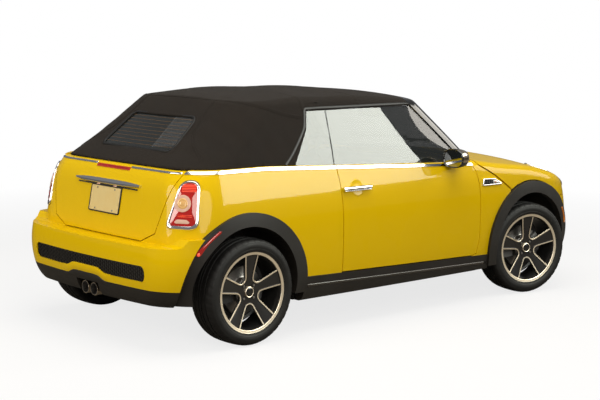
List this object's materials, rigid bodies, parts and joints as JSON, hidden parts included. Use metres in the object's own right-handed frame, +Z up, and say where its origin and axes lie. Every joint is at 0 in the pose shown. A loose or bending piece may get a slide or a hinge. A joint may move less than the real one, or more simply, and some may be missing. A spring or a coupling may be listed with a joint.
{
  "type": "convertible car",
  "caption": "Small convertible car with a raised fabric roof, opening doors, bonnet and drop-down boot lid, and steered front wheels.",
  "frame": {"origin": "on the ground, midway along the car and on its centreline", "axes": "+X forward, +Y to the car's left, +Z up"},
  "size_m": [3.7148, 1.88, 1.4161],
  "materials": {
    "yellow_paint": "gloss",
    "dark_metal": "satin",
    "black_plastic": "fine grain",
    "piano_black": "gloss",
    "bright_trim": "polished",
    "silver_alloy": "satin, lightly machined",
    "tyre_rubber": "matt",
    "roof_fabric": "woven, matt",
    "tinted_glass": "clear, lightly tinted",
    "clear_lens": "clear",
    "lamp_bowl": "bright, metallised",
    "red_lens": "gloss, translucent",
    "amber_lens": "gloss, translucent",
    "seat_cloth": "woven",
    "white_plate": "blank",
    "cast_metal": "as cast",
    "steel": "dull"
  },
  "bodies": {
    "body": {"arch_trims": "black_plastic", "belt_trim": "bright_trim", "console": "black_plastic", "cowl": "black_plastic", "dashboard": "black_plastic", "engine_block": "cast_metal", "exhaust": "steel", "fabric_top": "roof_fabric", "fixed_windows": "tinted_glass", "floor": "dark_metal", "fog_lamps": "clear_lens", "frame_members": "dark_metal", "front_bumper": "yellow_paint", "front_markers": "amber_lens", "front_wings": "yellow_paint", "fuel_tank": "black_plastic", "grilles": "piano_black", "hinge_pads": "dark_metal", "quarter_panels": "yellow_paint", "rear_axle": "dark_metal", "rear_bumper": "yellow_paint", "rear_deck": "dark_metal", "rear_markers": "red_lens", "rear_valance": "black_plastic", "seat_backs": "seat_cloth", "seat_cushions": "seat_cloth", "side_scuttles": "bright_trim", "sill_trims": "black_plastic", "spring_mounts": "dark_metal", "tail_lamps": "red_lens", "wheel_housings": "black_plastic", "windscreen_frame": "piano_black"},
    "bonnet": {"bonnet": "yellow_paint", "headlamp_lenses": "clear_lens", "headlamp_bowls": "lamp_bowl"},
    "lid": {"lid": "yellow_paint", "number_plate": "white_plate", "lid_handle": "bright_trim", "lid_brake_lamp": "red_lens"},
    "door_left": {"door_left": "yellow_paint", "door_glass_left": "tinted_glass", "door_trim_left": "bright_trim", "door_mirror_left": "piano_black"},
    "door_right": {"door_right": "yellow_paint", "door_glass_right": "tinted_glass", "door_trim_right": "bright_trim", "door_mirror_right": "piano_black"},
    "knuckle_left": {"knuckle_left": "cast_metal"},
    "knuckle_right": {"knuckle_right": "cast_metal"},
    "steering_wheel": {"steering_wheel": "black_plastic"},
    "wheel_front_left": {"tyre_front_left": "tyre_rubber", "rim_front_left": "silver_alloy"},
    "wheel_front_right": {"tyre_front_right": "tyre_rubber", "rim_front_right": "silver_alloy"},
    "wheel_rear_left": {"tyre_rear_left": "tyre_rubber", "rim_rear_left": "silver_alloy"},
    "wheel_rear_right": {"tyre_rear_right": "tyre_rubber", "rim_rear_right": "silver_alloy"}
  },
  "joints": [
    {"name": "steering_wheel_turn", "type": "hinge", "parent": "body", "child": "steering_wheel", "pos_m": [0.245, 0.36, 0.872], "axis": [-0.9272, 0, 0.3746], "range_deg": [-280, 616]},
    {"name": "steer_left", "type": "hinge", "parent": "body", "child": "knuckle_left", "pos_m": [1.197, 0.6805, 0.165], "axis": [0, -0.27, 0.9629], "range_deg": [-20, 44]},
    {"name": "spin_front_left", "type": "hinge", "parent": "knuckle_left", "child": "wheel_front_left", "pos_m": [1.21423, 0.72476, 0.30751], "axis": [0.2002, 0.9797, -0.0057], "continuous": true},
    {"name": "spin_rear_left", "type": "hinge", "parent": "body", "child": "wheel_rear_left", "pos_m": [-1.27, 0.7305, 0.308], "axis": [0, 1, 0], "continuous": true},
    {"name": "door_left_swing", "type": "hinge", "parent": "body", "child": "door_left", "pos_m": [0.655, 0.822, 0.6], "axis": [0, 0, -1], "range_deg": [0, 65]},
    {"name": "steer_right", "type": "hinge", "parent": "body", "child": "knuckle_right", "pos_m": [1.197, -0.6805, 0.165], "axis": [0, 0.27, 0.9629], "range_deg": [-20, 44]},
    {"name": "spin_front_right", "type": "hinge", "parent": "knuckle_right", "child": "wheel_front_right", "pos_m": [1.17976, -0.72476, 0.30751], "axis": [0.2002, 0.9797, 0.0057], "continuous": true},
    {"name": "spin_rear_right", "type": "hinge", "parent": "body", "child": "wheel_rear_right", "pos_m": [-1.27, -0.7305, 0.308], "axis": [0, 1, 0], "continuous": true},
    {"name": "door_right_swing", "type": "hinge", "parent": "body", "child": "door_right", "pos_m": [0.655, -0.822, 0.6], "axis": [0, 0, 1], "range_deg": [0, 65]},
    {"name": "lid_swing", "type": "hinge", "parent": "body", "child": "lid", "pos_m": [-1.752, 0, 0.612], "axis": [0, -1, 0], "range_deg": [0, 85]},
    {"name": "bonnet_swing", "type": "hinge", "parent": "body", "child": "bonnet", "pos_m": [0.67, 0, 0.925], "axis": [0, -1, 0], "range_deg": [0, 50]}
  ],
  "couplings": [
    {"joint": "steer_left", "follows": "steering_wheel_turn", "ratio": 0.071429},
    {"joint": "steer_right", "follows": "steering_wheel_turn", "ratio": 0.071429}
  ]
}
